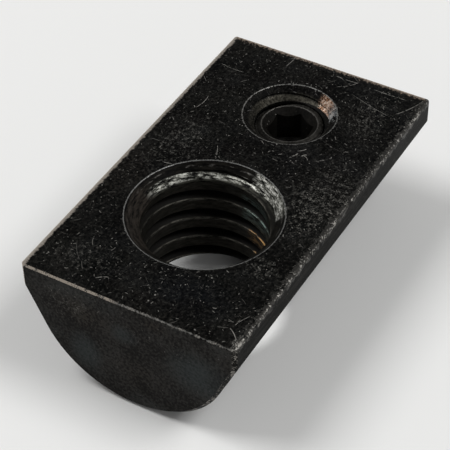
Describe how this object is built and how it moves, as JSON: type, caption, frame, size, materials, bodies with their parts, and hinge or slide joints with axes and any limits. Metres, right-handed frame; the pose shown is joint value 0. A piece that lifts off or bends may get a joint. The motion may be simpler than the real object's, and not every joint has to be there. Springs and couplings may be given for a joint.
{
  "type": "t-slot nut with a set screw",
  "caption": "Half-round steel nut that rolls into a T-slot, with a threaded clamping hole and a socket set screw that locks it in place.",
  "frame": {"origin": "on the clamping bolt's axis, in the flat clamping face", "axes": "+X along the nut towards the set screw's end, +Y across it, +Z out of the clamping face"},
  "size_m": [0.0228, 0.013, 0.0074],
  "materials": {
    "nut_steel": "black oxide over cold-drawn steel, tumbled, worn bright at the edges and the hole's countersink",
    "screw_steel": "black oxide on alloy steel, dull, socket rim rubbed grey"
  },
  "bodies": {
    "nut": {"nut_body": "nut_steel"},
    "screw": {"set_screw": "screw_steel"}
  },
  "joints": [
    {"name": "set_screw_travel", "type": "slide", "parent": "nut", "child": "screw", "axis": [0, 0, 1], "range_m": [-0.003, 0.0007]}
  ]
}
